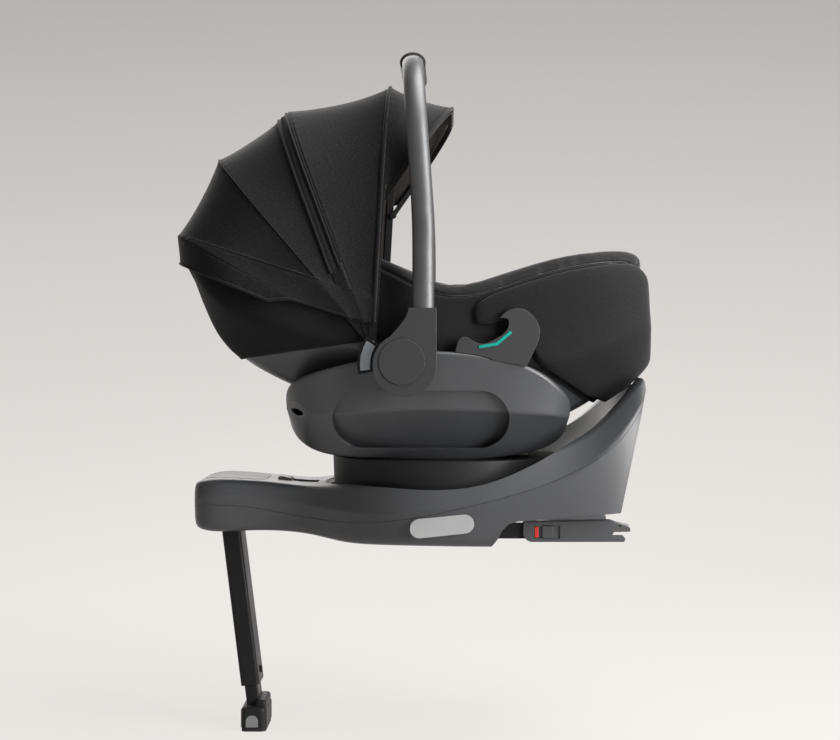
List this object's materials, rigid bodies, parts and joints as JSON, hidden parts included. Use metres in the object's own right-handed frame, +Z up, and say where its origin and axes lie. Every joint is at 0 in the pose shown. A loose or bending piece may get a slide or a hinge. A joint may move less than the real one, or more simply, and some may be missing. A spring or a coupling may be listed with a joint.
{
  "type": "infant car seat on a rotating base",
  "caption": "Rear-facing infant car seat with folding canopy and swing handle, docked on a turntable base with a telescopic load leg and anchor connectors.",
  "frame": {"origin": "midway between the two lower anchor bars of the vehicle seat, where the connectors clip on", "axes": "+X from the baby's head to its feet, towards the vehicle's seat back; +Y to the baby's left; +Z up"},
  "size_m": [0.63, 0.4464, 0.934],
  "materials": {
    "charcoal_plastic": "fine matte grain",
    "dark_plastic": "matte",
    "grey_plastic": "satin",
    "button_grey": "satin",
    "light_plastic": "satin",
    "bearing_plastic": "smooth",
    "steel": "zinc plated",
    "black_steel": "black coating",
    "handle_alloy": "satin dark coating",
    "grip_rubber": "matte",
    "sole_rubber": "matte",
    "red_plastic": "gloss",
    "teal_plastic": "gloss",
    "black_fabric": "woven",
    "lining_fabric": "knitted",
    "webbing": "webbing"
  },
  "bodies": {
    "base": {"base_lower_shell": "charcoal_plastic", "base_upper_shell": "charcoal_plastic", "chassis_plate": "black_steel", "thrust_ring": "bearing_plastic", "swivel_retainer": "steel", "nose_panel": "grey_plastic", "leg_hinge": "steel", "connector_guides": "dark_plastic"},
    "turntable": {"turntable": "dark_plastic", "lock_hooks": "steel"},
    "carrier": {"carrier_shell": "charcoal_plastic", "rocker_base": "charcoal_plastic", "carrier_pins": "steel", "handle_bosses": "dark_plastic", "side_cover": "black_fabric", "foot_cover": "black_fabric", "rim_roll": "black_fabric", "seat_pad": "lining_fabric", "belt_guides": "charcoal_plastic", "belt_markers": "teal_plastic", "canopy_skirt": "black_fabric", "harness_straps": "webbing", "harness_pads": "lining_fabric", "harness_hardware": "dark_plastic"},
    "handle": {"handle_bar": "handle_alloy", "handle_grip": "grip_rubber", "handle_hubs": "charcoal_plastic", "hub_caps": "charcoal_plastic"},
    "handle_release_left": {"handle_release_left": "button_grey"},
    "handle_release_right": {"handle_release_right": "button_grey"},
    "canopy_rear": {"canopy_bow_rear": "dark_plastic", "canopy_panel_rear": "black_fabric"},
    "canopy_middle": {"canopy_bow_middle": "dark_plastic", "canopy_panel_middle": "black_fabric", "canopy_zip": "black_fabric"},
    "canopy_front": {"canopy_bow_front": "dark_plastic", "canopy_panel_front": "black_fabric"},
    "visor": {"visor_bow": "dark_plastic", "visor_fabric": "black_fabric"},
    "headrest": {"headrest": "lining_fabric"},
    "buckle_button": {"buckle_button": "red_plastic"},
    "harness_adjuster": {"harness_adjuster": "grey_plastic"},
    "release_button": {"release_button": "light_plastic"},
    "adjuster_left": {"adjuster_button_left": "light_plastic"},
    "adjuster_right": {"adjuster_button_right": "light_plastic"},
    "leg": {"leg_outer_tube": "black_steel", "leg_guide_sleeve": "dark_plastic"},
    "leg_lock": {"leg_lock_button": "dark_plastic"},
    "leg_foot": {"leg_inner_tube": "black_steel", "leg_foot": "dark_plastic", "foot_sole": "sole_rubber", "foot_inserts": "grey_plastic"},
    "connectors": {"connector_frame": "black_steel", "connector_heads": "dark_plastic"},
    "claw_left": {"claw_left": "steel"},
    "claw_right": {"claw_right": "steel"},
    "indicator_left": {"indicator_left": "red_plastic"},
    "indicator_right": {"indicator_right": "red_plastic"},
    "catch_left": {"catch_left": "dark_plastic"},
    "catch_right": {"catch_right": "dark_plastic"}
  },
  "joints": [
    {"name": "seat_swivel", "type": "hinge", "parent": "base", "child": "turntable", "pos_m": [-0.22, 0, 0.06], "axis": [0, 0, 1], "continuous": true},
    {"name": "carrier_lift", "type": "slide", "parent": "turntable", "child": "carrier", "axis": [0, 0, 1], "range_m": [0, 0.25]},
    {"name": "handle_turn", "type": "hinge", "parent": "carrier", "child": "handle", "pos_m": [-0.2757, 0, 0.224], "axis": [0, 1, 0], "range_deg": [-110, 70]},
    {"name": "handle_release_left_press", "type": "slide", "parent": "carrier", "child": "handle_release_left", "axis": [0.9781, 0, -0.2079], "range_m": [0, 0.0035], "stiffness_N_per_m": 400},
    {"name": "handle_release_right_press", "type": "slide", "parent": "carrier", "child": "handle_release_right", "axis": [0.9781, 0, -0.2079], "range_m": [0, 0.0035], "stiffness_N_per_m": 400},
    {"name": "canopy_fold", "type": "hinge", "parent": "carrier", "child": "canopy_rear", "pos_m": [-0.318, 0, 0.252], "axis": [0, 1, 0], "range_deg": [-17, 0], "deforming": ["canopy_panel_rear"]},
    {"name": "canopy_fold_middle", "type": "hinge", "parent": "canopy_rear", "child": "canopy_middle", "pos_m": [-0.318, 0, 0.252], "axis": [0, 1, 0], "range_deg": [-17.1, 0.1], "deforming": ["canopy_panel_middle", "canopy_zip"]},
    {"name": "canopy_fold_front", "type": "hinge", "parent": "canopy_middle", "child": "canopy_front", "pos_m": [-0.318, 0, 0.252], "axis": [0, 1, 0], "range_deg": [-17.1, 0.1], "deforming": ["canopy_panel_front"]},
    {"name": "visor_flip", "type": "hinge", "parent": "canopy_front", "child": "visor", "pos_m": [-0.302, 0, 0.442], "axis": [0, 1, 0], "range_deg": [-25, 0], "deforming": ["visor_fabric"]},
    {"name": "headrest_slide", "type": "slide", "parent": "carrier", "child": "headrest", "axis": [-0.5, 0, 0.866], "range_m": [0, 0.04]},
    {"name": "buckle_press", "type": "slide", "parent": "carrier", "child": "buckle_button", "axis": [0, 0, -1], "range_m": [0, 0.004], "stiffness_N_per_m": 400},
    {"name": "harness_adjust_press", "type": "slide", "parent": "carrier", "child": "harness_adjuster", "axis": [0.309, 0, -0.9511], "range_m": [0, 0.003], "stiffness_N_per_m": 400},
    {"name": "seat_release_press", "type": "slide", "parent": "base", "child": "release_button", "axis": [0, 0, -1], "range_m": [0, 0.005], "stiffness_N_per_m": 400},
    {"name": "adjuster_left_press", "type": "slide", "parent": "base", "child": "adjuster_left", "axis": [0, -1, 0], "range_m": [0, 0.005], "stiffness_N_per_m": 400},
    {"name": "adjuster_right_press", "type": "slide", "parent": "base", "child": "adjuster_right", "axis": [0, 1, 0], "range_m": [0, 0.005], "stiffness_N_per_m": 400},
    {"name": "leg_fold", "type": "hinge", "parent": "base", "child": "leg", "pos_m": [-0.524, 0, 0.024], "axis": [0, -1, 0], "range_deg": [0, 75]},
    {"name": "leg_extend", "type": "slide", "parent": "leg", "child": "leg_foot", "axis": [0.1231, 0, -0.9924], "range_m": [-0.012, 0.15]},
    {"name": "leg_lock_press", "type": "slide", "parent": "leg", "child": "leg_lock", "axis": [-0.9924, 0, -0.1231], "range_m": [0, 0.0024], "stiffness_N_per_m": 400},
    {"name": "connector_slide", "type": "slide", "parent": "base", "child": "connectors", "axis": [1, 0, 0], "range_m": [-0.03, 0.02]},
    {"name": "claw_left_turn", "type": "hinge", "parent": "connectors", "child": "claw_left", "pos_m": [0.006, 0.14, 0.011], "axis": [0, 1, 0], "range_deg": [-0.2, 85.2]},
    {"name": "indicator_left_slide", "type": "slide", "parent": "connectors", "child": "indicator_left", "axis": [1, 0, 0], "range_m": [0, 0.005]},
    {"name": "catch_left_slide", "type": "slide", "parent": "connectors", "child": "catch_left", "axis": [1, 0, 0], "range_m": [0, 0.008], "stiffness_N_per_m": 400},
    {"name": "claw_right_turn", "type": "hinge", "parent": "connectors", "child": "claw_right", "pos_m": [0.006, -0.14, 0.011], "axis": [0, 1, 0], "range_deg": [-0.2, 85.2]},
    {"name": "indicator_right_slide", "type": "slide", "parent": "connectors", "child": "indicator_right", "axis": [1, 0, 0], "range_m": [0, 0.005]},
    {"name": "catch_right_slide", "type": "slide", "parent": "connectors", "child": "catch_right", "axis": [1, 0, 0], "range_m": [0, 0.008], "stiffness_N_per_m": 400}
  ],
  "couplings": [
    {"joint": "canopy_fold_middle", "follows": "canopy_fold", "ratio": 1},
    {"joint": "canopy_fold_front", "follows": "canopy_fold", "ratio": 1},
    {"joint": "claw_left_turn", "follows": "indicator_left_slide", "rad_per_m": 296.71},
    {"joint": "claw_right_turn", "follows": "indicator_right_slide", "rad_per_m": 296.71}
  ]
}
